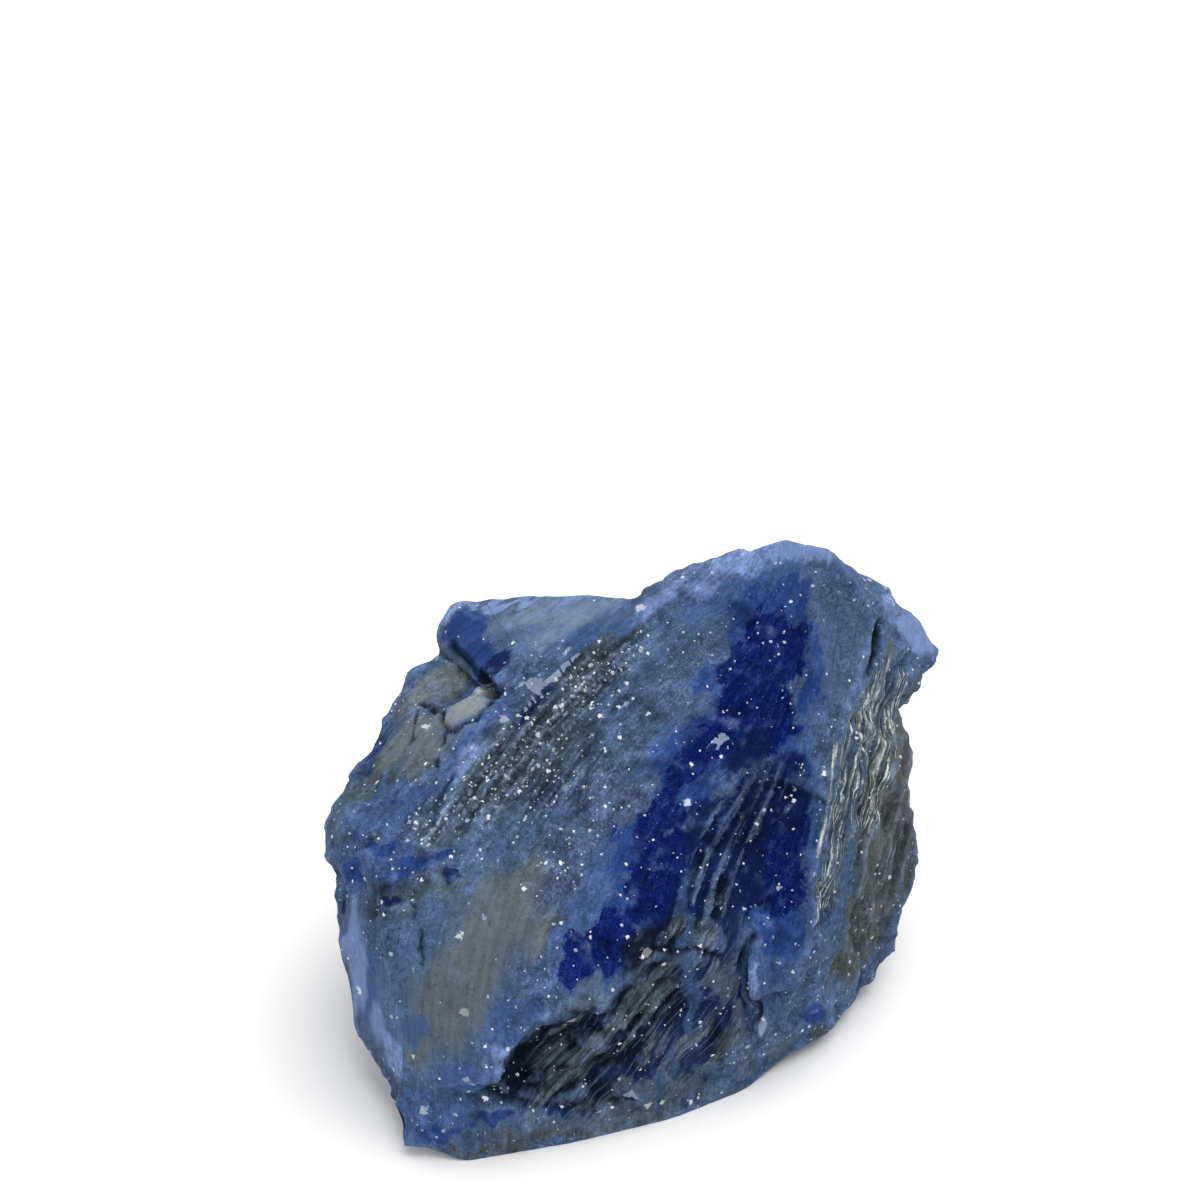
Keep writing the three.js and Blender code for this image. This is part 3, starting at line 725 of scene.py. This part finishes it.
def stone_mesh(look, palette):
    """The finished surface, with its tint, zones, edges and hollows as attributes; the edges and hollows
    mark where highlights and shade are painted.
    """
    mesh = subdivided(merged_solid(look.sharp_angle), look.subdivision)
    mesh.name = "rough_sodalite"
    points = read_points(mesh)
    view = View()
    frayed = feathered(points)
    zones = all_zones(points, frayed, placed_patches(view))
    height, marks = relief(points, zones, placed_creases(view), look)
    raised = points + read_normals(mesh) * height[:, None]
    raised[:, 2] = np.maximum(raised[:, 2], 0.0)
    write_points(mesh, raised)

    edges = np.empty(len(mesh.edges) * 2, np.int64)
    mesh.edges.foreach_get("vertices", edges)
    edges = edges.reshape(-1, 2)
    normals = read_normals(mesh)
    fine = prominence(raised, normals, edges, FINE_ROUNDS)
    broad = prominence(raised, normals, edges, BROAD_ROUNDS)
    # Masks for painted light: small edges and broad rims are painted lighter as highlights, and hollows
    # darker as shade.
    marks["edge"] = smoothstep(fine, 0.03, 0.2)
    marks["hollow"] = smoothstep(-fine, 0.05, 0.24)
    marks["rim"] = smoothstep(broad, 0.35, 1.4)
    marks["streaky"] = streakiness(zones)
    marks["grey"] = np.max([zones[kind] for kind in GREY_KINDS], axis=0)
    for name, values in marks.items():
        write_attribute(mesh, name, values)
    for kind in CUT_KINDS:
        write_attribute(mesh, kind, zones[kind])
    write_vector(mesh, "grain", grain_coordinates(points))
    write_vector(mesh, "wisps", wisp_coordinates(points))
    write_vector(mesh, "strands", strand_coordinates(points))
    write_colour(mesh, "tint", body_tint(points, frayed, zones, palette))
    mesh.shade_smooth()
    return mesh


# ----------------------------------------------------------------- materials

class Web:
    """Adds nodes to one tree and joins them. Each call gives back an output socket."""

    def __init__(self, tree):
        self.tree = tree

    def put(self, kind, inputs, output=0, **settings):
        node = self.tree.nodes.new(kind)
        for name, value in settings.items():
            setattr(node, name, value)
        for key, value in inputs.items():
            if isinstance(value, bpy.types.NodeSocket):
                self.tree.links.new(value, node.inputs[key])
            else:
                node.inputs[key].default_value = value
        return node.outputs[output]

    def attribute(self, name, output="Fac"):
        return self.put("ShaderNodeAttribute", {}, output, attribute_name=name)

    def math(self, operation, first, second=0.0, third=0.0):
        return self.put("ShaderNodeMath", {0: first, 1: second, 2: third}, operation=operation)

    def ramp(self, value, low, high, start=0.0, end=1.0):
        """Smooth step of the value between low and high, from start to end."""
        inputs = {"Value": value, 1: low, 2: high, 3: start, 4: end}
        return self.put("ShaderNodeMapRange", inputs, interpolation_type="SMOOTHSTEP")

    def mix(self, share, first, second, blend="MIX"):
        inputs = {0: share, 6: first, 7: second}
        return self.put("ShaderNodeMix", inputs, 2, data_type="RGBA", blend_type=blend)

    def noise(self, vector, scale, detail=4.0, roughness=0.55, distortion=0.0):
        inputs = {"Vector": vector, "Scale": scale, "Detail": detail, "Roughness": roughness,
                  "Distortion": distortion}
        return self.put("ShaderNodeTexNoise", inputs)

    def stretched(self, vector, scale):
        return self.put("ShaderNodeMapping", {"Vector": vector, "Scale": scale})

    def group(self, tree, output, **inputs):
        return self.put("ShaderNodeGroup", inputs, output, node_tree=tree)


def shader_group(name, inputs, outputs):
    """An empty node group with its sockets, and the sockets by name."""
    tree = bpy.data.node_groups.new(name, "ShaderNodeTree")
    for label, kind, default in inputs:
        socket = tree.interface.new_socket(label, in_out="INPUT", socket_type=kind)
        if default is not None:
            socket.default_value = default
    for label, kind in outputs:
        tree.interface.new_socket(label, in_out="OUTPUT", socket_type=kind)
    entry = tree.nodes.new("NodeGroupInput")
    ending = tree.nodes.new("NodeGroupOutput")
    return tree, entry.outputs, ending.inputs


def dust_group():
    """Pale crumbs: round cells of a Voronoi pattern, of which only some are filled.

    Size is the spacing in mm. Amount is the share of filled cells, and Radius
    the largest crumb's, in cells. Rough is a fine noise that frays the outline.
    """
    tree, entry, ending = shader_group(
        "Stone crumbs",
        [("Vector", "NodeSocketVector", None), ("Size", "NodeSocketFloat", 1.0),
         ("Amount", "NodeSocketFloat", 0.2), ("Radius", "NodeSocketFloat", 0.3),
         ("Rough", "NodeSocketFloat", 0.5)],
        [("Crumb", "NodeSocketFloat")],
    )
    web = Web(tree)
    scale = web.math("DIVIDE", 1.0, entry["Size"])
    voronoi = tree.nodes.new("ShaderNodeTexVoronoi")
    tree.links.new(entry["Vector"], voronoi.inputs["Vector"])
    tree.links.new(scale, voronoi.inputs["Scale"])
    split = tree.nodes.new("ShaderNodeSeparateColor")
    tree.links.new(voronoi.outputs["Color"], split.inputs[0])
    chosen = web.math("LESS_THAN", split.outputs[0], entry["Amount"])
    radius = web.math("MULTIPLY", entry["Radius"], web.ramp(split.outputs[1], 0.0, 1.0, 0.3, 1.0))
    inner = web.math("MULTIPLY", radius, 0.75)
    fray = web.math("SUBTRACT", entry["Rough"], 0.5)
    fray = web.math("MULTIPLY", fray, web.math("MULTIPLY", radius, 3.2))
    away = web.math("ADD", voronoi.outputs["Distance"], fray)
    disc = web.ramp(away, inner, radius, 1.0, 0.0)
    disc = web.math("MULTIPLY", disc, web.ramp(split.outputs[2], 0.0, 1.0, 0.4, 1.0))
    tree.links.new(web.math("MULTIPLY", disc, chosen), ending["Crumb"])
    return tree


def ragged_group():
    """A zone with a ragged border: its strength plus noise, cut at a threshold."""
    tree, entry, ending = shader_group(
        "Ragged zone",
        [("Strength", "NodeSocketFloat", 0.0), ("Noise", "NodeSocketFloat", 0.5),
         ("Raggedness", "NodeSocketFloat", 0.9), ("Low", "NodeSocketFloat", 0.3),
         ("High", "NodeSocketFloat", 0.7)],
        [("Mask", "NodeSocketFloat")],
    )
    web = Web(tree)
    shift = web.math("MULTIPLY", web.math("SUBTRACT", entry["Noise"], 0.5), entry["Raggedness"])
    total = web.math("ADD", entry["Strength"], shift)
    inside = web.ramp(total, entry["Low"], entry["High"])
    present = web.ramp(entry["Strength"], 0.02, 0.25)
    tree.links.new(web.math("MULTIPLY", inside, present), ending["Mask"])
    return tree


def lines_group():
    """Thin wavy lines that run on along the second coordinate, like the grain of wood.

    Spacing is the distance between lines in mm, Waver how far they stray, in
    spacings, and Width the share of the spacing that a line fills.
    """
    tree, entry, ending = shader_group(
        "Grain lines",
        [("Vector", "NodeSocketVector", None), ("Spacing", "NodeSocketFloat", 1.0),
         ("Waver", "NodeSocketFloat", 2.0), ("Width", "NodeSocketFloat", 0.3)],
        [("Line", "NodeSocketFloat")],
    )
    web = Web(tree)
    split = tree.nodes.new("ShaderNodeSeparateXYZ")
    tree.links.new(entry["Vector"], split.inputs[0])
    count = web.math("DIVIDE", split.outputs[0], entry["Spacing"])
    bend = web.noise(web.stretched(entry["Vector"], (0.5, 0.06, 0.3)), 1.0, 2.0, 0.5)
    count = web.math("MULTIPLY_ADD", bend, entry["Waver"], count)
    away = web.math("MULTIPLY", web.math("PINGPONG", count, 0.5), 2.0)
    line = web.ramp(away, 0.0, entry["Width"], 1.0, 0.0)
    tree.links.new(line, ending["Line"])
    return tree


def colour(value):
    """A palette colour with full alpha."""
    return (value[0], value[1], value[2], 1.0)


def stone_material(look, palette):
    """The stone's paint: tint, cut patches, wisps, fibres, streaks, mottling, crumbs and bump, with painted
    shade in hollows, cracks and grooves and painted highlights on edges, rims and crests.
    """
    material = bpy.data.materials.new("Rough sodalite")
    material.use_nodes = True
    tree = material.node_tree
    web = Web(tree)
    shader = tree.nodes["Principled BSDF"]
    crumbs = dust_group()
    ragged = ragged_group()
    lines = lines_group()

    place = web.put("ShaderNodeTexCoord", {}, "Object")
    place = web.stretched(place, (1 / MM, 1 / MM, 1 / MM))
    grain = web.attribute("grain", "Vector")
    wisps = web.attribute("wisps", "Vector")
    strands = web.attribute("strands", "Vector")

    cloud = web.noise(place, 0.42, 5.0, 0.68, 0.6)
    mottle = web.noise(place, 0.9, 5.0, 0.74, 0.5)
    border = web.math("MULTIPLY_ADD", web.math("SUBTRACT", mottle, 0.5), 0.9, cloud)
    net = web.noise(place, 1.5, 4.0, 0.75, 1.2)
    sand = web.noise(place, 4.6, 2.0, 0.7)
    fine = web.noise(web.stretched(grain, (2.8, 1.7, 2.3)), 1.0, 3.0, 0.75, 0.4)
    streaks = web.noise(web.stretched(grain, (2.4, 0.2, 0.5)), 1.0, 4.0, 0.65, 0.2)
    hair = web.noise(web.stretched(grain, (6.5, 0.3, 1.0)), 1.0, 2.0, 0.6)
    fibre = web.noise(web.stretched(strands, (4.2, 0.2, 0.5)), 1.0, 4.0, 0.68, 0.15)
    plume = web.noise(web.stretched(wisps, (0.6, 0.12, 0.25)), 1.0, 4.0, 0.62, 0.4)
    feather = web.noise(web.stretched(wisps, (4.0, 0.35, 0.9)), 1.0, 3.0, 0.65, 0.2)

    def zone(name, pattern, raggedness, low, high):
        return web.group(ragged, "Mask", Strength=web.attribute(name), Noise=pattern,
                         Raggedness=raggedness, Low=low, High=high)

    def crumb(size, amount, radius, rough):
        return web.group(crumbs, "Crumb", Vector=place, Size=size, Amount=amount, Radius=radius,
                         Rough=rough)

    def product(*factors):
        total = factors[0]
        for factor in factors[1:]:
            total = web.math("MULTIPLY", total, factor)
        return total

    def contour(pattern, width):
        """A thin line wherever the pattern passes through its middle value."""
        away = web.math("ABSOLUTE", web.math("SUBTRACT", pattern, 0.5))
        return web.ramp(away, 0.0, width, 1.0, 0.0)

    def painted(tone, share, name):
        return web.mix(share, tone, colour(getattr(palette, name)))

    # the body with thin light wisps, dark pits and its cut patches, painted shade at the foot of the steps,
    # painted highlight on the broad rims, and near-black stone with painted shade in the hollow under the
    # lip
    tone = web.attribute("tint", "Color")
    blue = web.ramp(web.attribute("grey"), 0.0, 0.7, 1.0, 0.35)
    threads = product(contour(net, 0.045), blue)
    tone = painted(tone, product(threads, web.ramp(cloud, 0.44, 0.56, 0.15, 0.5)), "haze")
    tone = painted(tone, web.ramp(net, 0.34, 0.42, 0.4, 0.0), "groove")
    scratched = product(contour(streaks, 0.025), web.ramp(mottle, 0.46, 0.6, 0.0, 0.5), blue)
    tone = painted(tone, scratched, "haze")
    tone = painted(tone, product(zone("denim", border, 1.6, 0.3, 0.8), 0.7), "denim")
    tone = painted(tone, product(zone("royal", border, 1.8, 0.3, 0.75), 0.85), "royal")
    tone = painted(tone, product(zone("terraces", streaks, 2.4, 0.4, 0.75), 0.42), "groove")
    # painted shade at the foot of each step, and dark stone in the grooves of the ribs
    tone = painted(tone, product(web.attribute("groove"), 0.45), "groove")
    # pale haze of the stone, with painted highlight where its patches lie along rims and edges
    tone = painted(tone, product(zone("haze", cloud, 0.8, 0.05, 0.95), 0.8), "haze")
    # painted highlight: the broad rims lightened
    tone = painted(tone, product(web.attribute("rim"), 0.25), "haze")
    tone = painted(tone, product(zone("ultramarine", border, 1.9, 0.32, 0.6), 0.96), "ultramarine")
    tone = painted(tone, product(threads, web.ramp(streaks, 0.4, 0.6, 0.05, 0.35)), "denim")
    tone = painted(tone, product(zone("navy", streaks, 1.6, 0.2, 0.8), 0.92), "navy")
    # near-black stone, and painted shade in the hollow under the lip
    tone = painted(tone, product(zone("charcoal", plume, 1.5, 0.1, 0.9), 0.92), "charcoal")

    # the dark olive flank, and the grey ground of the fibres
    tone = painted(tone, product(zone("olive", fibre, 1.3, 0.1, 0.7), 0.8), "olive_dark")
    fibrous = zone("fibres", fibre, 1.2, 0.1, 0.5)
    tone = painted(tone, product(fibrous, 0.5), "grey_green")
    tone = painted(tone, product(web.ramp(fibre, 0.38, 0.46, 0.7, 0.0), fibrous), "groove")

    # grey ribs, and grey plumes in the dark front
    rib = product(web.ramp(web.attribute("rib"), 0.22, 0.62), web.ramp(streaks, 0.36, 0.56))
    tone = painted(tone, product(rib, 0.8), "rib")
    swirls = web.attribute("swirls")
    # the grey wisps fade in the hollows, as part of the painted shade there
    plumes = product(web.ramp(plume, 0.46, 0.57), web.ramp(feather, 0.36, 0.6, 0.25, 0.95),
                     web.ramp(swirls, 0.1, 0.6), web.ramp(web.attribute("hollow"), 0.0, 1.0, 1.0, 0.3))
    tone = painted(tone, product(plumes, 0.9), "wisp")
    line = web.group(lines, "Line", Vector=wisps, Spacing=0.6, Waver=2.0, Width=0.35)
    strand = product(line, web.ramp(feather, 0.42, 0.58), swirls)
    tone = painted(tone, product(strand, 0.22), "haze")
    tone = painted(tone, product(zone("front_grey", plume, 1.4, 0.2, 0.8), 0.7), "front_grey")

    # painted highlights: small edges lightened with the haze colour, and the crests of the steps with the
    # plate colour, partly pale stone and partly painted highlight; then the light vein
    tone = painted(tone, product(web.attribute("edge"), 0.25), "haze")
    tone = painted(tone, product(web.attribute("crest"), web.ramp(mottle, 0.4, 0.6, 0.2, 0.6)), "plate")
    tone = painted(tone, product(zone("vein", border, 1.2, 0.2, 0.8), 0.75), "vein")

    # light and dark streaks along the grain, and whitish fibres on the ridge
    streaked = web.mix(1.0, tone, web.ramp(streaks, 0.32, 0.68, 0.55, 1.45), "MULTIPLY")
    tone = web.mix(web.attribute("streaky"), tone, streaked)
    fibres = product(web.ramp(fibre, 0.5, 0.58), web.ramp(mottle, 0.38, 0.56, 0.25, 1.0), fibrous)
    tone = painted(tone, product(fibres, 0.85), "fibre")

    # mottling, weak on the calm faces, then chips lighter or darker, then painted shade: hollows and cracks
    # darkened with the near-black colour
    uneven = web.ramp(web.attribute("calm"), 0.1, 0.9, 1.0, 0.3)
    for pattern, low, high, darkest, lightest in (
        (mottle, 0.3, 0.7, 0.8, 1.22),
        (fine, 0.35, 0.65, 0.82, 1.2),
        (sand, 0.35, 0.65, 0.86, 1.16),
        (web.attribute("chip_light"), -1.0, 1.0, 0.76, 1.24),
    ):
        tone = web.mix(uneven, tone, web.ramp(pattern, low, high, darkest, lightest), "MULTIPLY")
    # painted shade: the hollows darkened
    tone = painted(tone, product(web.attribute("hollow"), 0.4), "charcoal")
    # painted shade: the cracks darkened
    tone = painted(tone, product(web.attribute("crack"), 0.85), "charcoal")

    # pale plates, flecks and crumbs
    tone = painted(tone, product(zone("plates", mottle, 0.5, 0.42, 0.55), 0.85), "plate")
    tone = painted(tone, product(crumb(2.8, 0.3, 0.15, net), 0.6), "dust")
    dusty = web.math("MULTIPLY_ADD", web.attribute("terraces"), 0.24, 0.09)
    dusty = web.math("MULTIPLY_ADD", web.attribute("crest"), 0.2, dusty)
    dusty = product(dusty, web.ramp(cloud, 0.4, 0.6, 0.4, 1.5), uneven)
    tiny = crumb(0.3, dusty, 0.36, sand)
    small = crumb(0.55, dusty, 0.36, sand)
    big = crumb(1.3, product(dusty, 0.5), 0.17, sand)
    crumbly = web.math("MAXIMUM", web.math("MAXIMUM", small, big), product(tiny, 0.85))
    tone = painted(tone, product(crumbly, 0.9), "dust")
    tree.links.new(tone, shader.inputs["Base Color"])

    rough = web.ramp(mottle, 0.3, 0.7, look.roughness - 0.1, look.roughness + 0.12)
    rough = web.math("MULTIPLY_ADD", crumbly, 0.2, rough)
    tree.links.new(rough, shader.inputs["Roughness"])
    shader.inputs["IOR"].default_value = REFRACTION
    shader.inputs["Specular IOR Level"].default_value = GLOSS_LEVEL

    height = product(fine, 0.1)
    for pattern, share in ((mottle, 0.12), (hair, 0.05), (sand, 0.05), (net, 0.12), (fibres, 0.08)):
        height = web.math("MULTIPLY_ADD", pattern, share, height)
    inputs = {"Height": height, "Strength": 1.0, "Distance": look.bump_depth}
    bump = web.put("ShaderNodeBump", inputs, "Normal")
    tree.links.new(bump, shader.inputs["Normal"])
    return material


def floor_material(shade):
    """Pale matt floor with a barely uneven tone."""
    material = bpy.data.materials.new("Pale floor")
    material.use_nodes = True
    web = Web(material.node_tree)
    shader = material.node_tree.nodes["Principled BSDF"]
    place = web.put("ShaderNodeTexCoord", {}, "Object")
    uneven = web.ramp(web.noise(place, 30.0, 2.0), 0.3, 0.7, 0.99 * shade, shade)
    material.node_tree.links.new(uneven, shader.inputs["Base Color"])
    shader.inputs["Roughness"].default_value = 0.9
    return material


# ------------------------------------------------------------------ settings

def paint(red, green, blue):
    """A screen colour, 0 to 255, as a scene colour."""
    screen = np.array([red, green, blue]) / 255.0
    linear = np.where(screen <= 0.04045, screen / 12.92, ((screen + 0.055) / 1.055) ** 2.4)
    return tuple(float(part) for part in linear)


def paint_property(name, description, *screen):
    return FloatVectorProperty(name=name, description=description, subtype="COLOR", size=3,
                               min=0.0, max=1.0, default=paint(*screen))


def length_property(name, description, millimetres):
    return FloatProperty(name=name, description=description, default=millimetres * MM,
                         min=0.0, unit="LENGTH")


class SodaliteLook(bpy.types.PropertyGroup):
    """Roughness of the broken surface"""
    sharp_angle: FloatProperty(name="Sharp angle", description="Edges bent more than this stay sharp",
                               default=math.radians(30), subtype="ANGLE")
    subdivision: IntProperty(name="Subdivision", description="How often the solid is subdivided", default=2)
    chip_height: length_property("Chips", "Height of the flat chips", 0.4)
    splinter_height: length_property("Splinters", "Height of the chips drawn out along the grain", 0.3)
    grit_height: length_property("Grit", "Height of the fine roughness", 0.05)
    step_height: length_property("Steps", "Height of the fine steps on the terraces", 0.42)
    streak_height: length_property("Streaks", "Height of the streaks along the grain", 0.07)
    swirl_height: length_property("Swirls", "Height of the swirls on the dark front", 0.06)
    bump_depth: length_property("Bump", "Depth of the roughness finer than the mesh", 1.0)
    roughness: FloatProperty(name="Roughness", description="Mean roughness of the gloss",
                             default=0.5, min=0.0, max=1.0, subtype="FACTOR")


class SodalitePalette(bpy.types.PropertyGroup):
    """Colours of the stone, some of which also paint its shade and highlights"""
    slate: paint_property("Slate", "Light part of the greyish blue body", 68, 90, 121)
    slate_dark: paint_property("Dark slate", "Dark part of the greyish blue body", 50, 71, 103)
    denim: paint_property("Denim", "Bluer body", 57, 82, 128)
    royal: paint_property("Royal", "Blue round the deep blue patches", 24, 52, 112)
    ultramarine: paint_property("Ultramarine", "Deep blue patches", 2, 16, 82)
    navy: paint_property("Navy", "Dark blue of the ribbed and wispy faces", 10, 24, 66)
    # Near-black stone, and the painted shade in hollows, cracks and the hollow under the lip.
    charcoal: paint_property("Charcoal", "Near-black stone", 9, 16, 27)
    # Pale lilac-blue haze of the stone, its light threads and scratches, and the painted highlights on
    # edges and rims.
    haze: paint_property("Haze", "Pale lilac-blue rims", 116, 138, 184)
    # Pale grey of the top ledge, painted paler for the sheen of the light from above on it.
    pale_grey_and_sheen: paint_property("Pale grey", "Top ledge", 102, 119, 142)
    plate_grey: paint_property("Plate grey", "Split plates on the left", 94, 102, 104)
    plate_pale: paint_property("Pale plate", "Lightest split plate", 132, 138, 138)
    teal_grey: paint_property("Teal grey", "Grey stone right of the peak", 54, 69, 91)
    grey_green: paint_property("Grey-green", "Grey-green of the terraces", 64, 78, 82)
    # Dark ground of the terraces, dark pits and gaps between fibres, and the painted shade at the foot of
    # each step.
    groove: paint_property("Groove", "Dark grooves between the terraces", 28, 34, 39)
    beige: paint_property("Beige", "Beige-grey haze", 88, 96, 98)
    olive: paint_property("Olive", "Olive-grey flank", 80, 86, 90)
    olive_dark: paint_property("Dark olive", "Dark olive streaks of the right flank", 74, 80, 81)
    violet: paint_property("Violet", "Violet-grey smudges", 58, 62, 90)
    front_grey: paint_property("Front grey", "Grey of the lower front", 76, 88, 103)
    wisp: paint_property("Wisp", "Grey wisps in the dark faces", 88, 101, 108)
    rib: paint_property("Rib", "Slate ribs in the dark middle", 62, 76, 100)
    vein: paint_property("Vein", "Light blue veins", 58, 78, 116)
    fibre: paint_property("Fibre", "Whitish fibres along the ridge", 196, 204, 200)
    # Small pale plates, and the painted highlight on the crests of the steps.
    plate: paint_property("Plate", "Small pale plates", 140, 152, 176)
    dust: paint_property("Dust", "Crumbs and dust", 236, 240, 243)


class SodaliteStage(bpy.types.PropertyGroup):
    """Camera, lights and floor"""
    pitch: FloatProperty(name="Pitch", description="How far the camera looks down",
                         default=PITCH, subtype="ANGLE")
    distance: length_property("Distance", "From the camera to its aim", DISTANCE)
    aim: FloatVectorProperty(name="Aim", description="Point that the camera looks at",
                             default=tuple(MM * part for part in AIM), subtype="TRANSLATION")
    lens: FloatProperty(name="Lens", description="Focal length in mm on a 36 mm sensor", default=LENS)
    floor_shade: FloatProperty(name="Floor", description="Brightness of the floor", default=0.85)
    top_power: FloatProperty(name="Top light", description="Power of the light above", default=7.5)
    fill_power: FloatProperty(name="Fill light", description="Power of the light in front", default=1.5)
    sky: FloatProperty(name="Sky", description="Strength of the light from all around", default=0.6)


# ----------------------------------------------------------------- operators

class SODALITE_OT_stone(bpy.types.Operator):
    """Builds the stone's broken surface and paints it"""
    bl_idname = "sodalite.stone"
    bl_label = "Rough stone"

    def execute(self, context):
        scene = context.scene
        mesh = stone_mesh(scene.sodalite_look, scene.sodalite_palette)
        mesh.materials.clear()
        mesh.materials.append(stone_material(scene.sodalite_look, scene.sodalite_palette))
        stone = bpy.data.objects.new("rough_sodalite", mesh)
        context.collection.objects.link(stone)
        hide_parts(NODE)
        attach(stone, BODY)
        return {"FINISHED"}


def add_light(name, place, aim, width, power, tint):
    """A square soft light at a place, turned to its aim."""
    lamp = bpy.data.lights.new(name, "AREA")
    lamp.shape = "SQUARE"
    lamp.size = width
    lamp.energy = power
    lamp.color = tint
    light = bpy.data.objects.new(name, lamp)
    light.location = place
    way = np.array(aim) - np.array(place)
    light.rotation_euler = (
        math.atan2(math.hypot(way[0], way[1]), -way[2]),
        0.0,
        math.atan2(way[1], way[0]) - math.pi / 2,
    )
    bpy.context.collection.objects.link(light)


class SODALITE_OT_stage(bpy.types.Operator):
    """Adds the floor, the lights and the camera"""
    bl_idname = "sodalite.stage"
    bl_label = "Stage"

    def execute(self, context):
        stage = context.scene.sodalite_stage
        mesh = bpy.data.meshes.new("floor")
        signs = ((-1, -1), (1, -1), (1, 1), (-1, 1))
        corners = [(FLOOR_HALF * across, FLOOR_HALF * along, 0.0) for across, along in signs]
        mesh.from_pydata(corners, [], [(0, 1, 2, 3)])
        mesh.materials.append(floor_material(stage.floor_shade))
        floor = bpy.data.objects.new("floor", mesh)
        context.collection.objects.link(floor)

        middle = (0.0, 0.0, 0.015)
        add_light("top_light", (0.20, 0.14, 0.76), middle, 0.85, stage.top_power, (1.0, 0.99, 0.97))
        add_light("fill_light", (-0.40, -0.60, 0.45), middle, 0.50, stage.fill_power, (0.96, 0.98, 1.0))

        world = bpy.data.worlds.new("studio")
        world.use_nodes = True
        backdrop = world.node_tree.nodes["Background"]
        backdrop.inputs["Color"].default_value = (1.0, 1.0, 1.0, 1.0)
        backdrop.inputs["Strength"].default_value = stage.sky
        context.scene.world = world
        context.scene.view_settings.view_transform = "Standard"

        lens = bpy.data.cameras.new("camera")
        lens.lens = stage.lens
        lens.sensor_width = SENSOR
        lens.clip_start = 0.01
        camera = bpy.data.objects.new("camera", lens)
        back = np.array([0.0, -math.cos(stage.pitch), math.sin(stage.pitch)])
        camera.location = np.array(stage.aim) + stage.distance * back
        camera.rotation_euler = (math.pi / 2 - stage.pitch, 0.0, 0.0)
        context.collection.objects.link(camera)
        context.scene.camera = camera
        return {"FINISHED"}


class SODALITE_PT_panel(bpy.types.Panel):
    """Sizes, colours and steps of the rough sodalite"""
    bl_label = "Rough sodalite"
    bl_idname = "SODALITE_PT_panel"
    bl_space_type = "VIEW_3D"
    bl_region_type = "UI"
    bl_category = "Sodalite"

    def draw(self, context):
        layout = self.layout
        for operator in OPERATORS:
            layout.operator(operator.bl_idname)
        for group in (context.scene.sodalite_look, context.scene.sodalite_palette,
                      context.scene.sodalite_stage):
            box = layout.box()
            for name in group.__annotations__:
                box.prop(group, name)


GROUPS = {"sodalite_look": SodaliteLook, "sodalite_palette": SodalitePalette,
          "sodalite_stage": SodaliteStage}
OPERATORS = (SODALITE_OT_stone, SODALITE_OT_stage)


def register():
    for kind in (*GROUPS.values(), *OPERATORS, SODALITE_PT_panel):
        bpy.utils.register_class(kind)
    for name, group in GROUPS.items():
        setattr(bpy.types.Scene, name, PointerProperty(type=group))


def unregister():
    for name in GROUPS:
        delattr(bpy.types.Scene, name)
    for kind in (SODALITE_PT_panel, *OPERATORS, *GROUPS.values()):
        bpy.utils.unregister_class(kind)


def main():
    register()
    bpy.ops.sodalite.stone()
    bpy.ops.sodalite.stage()


if __name__ == "__main__":
    main()
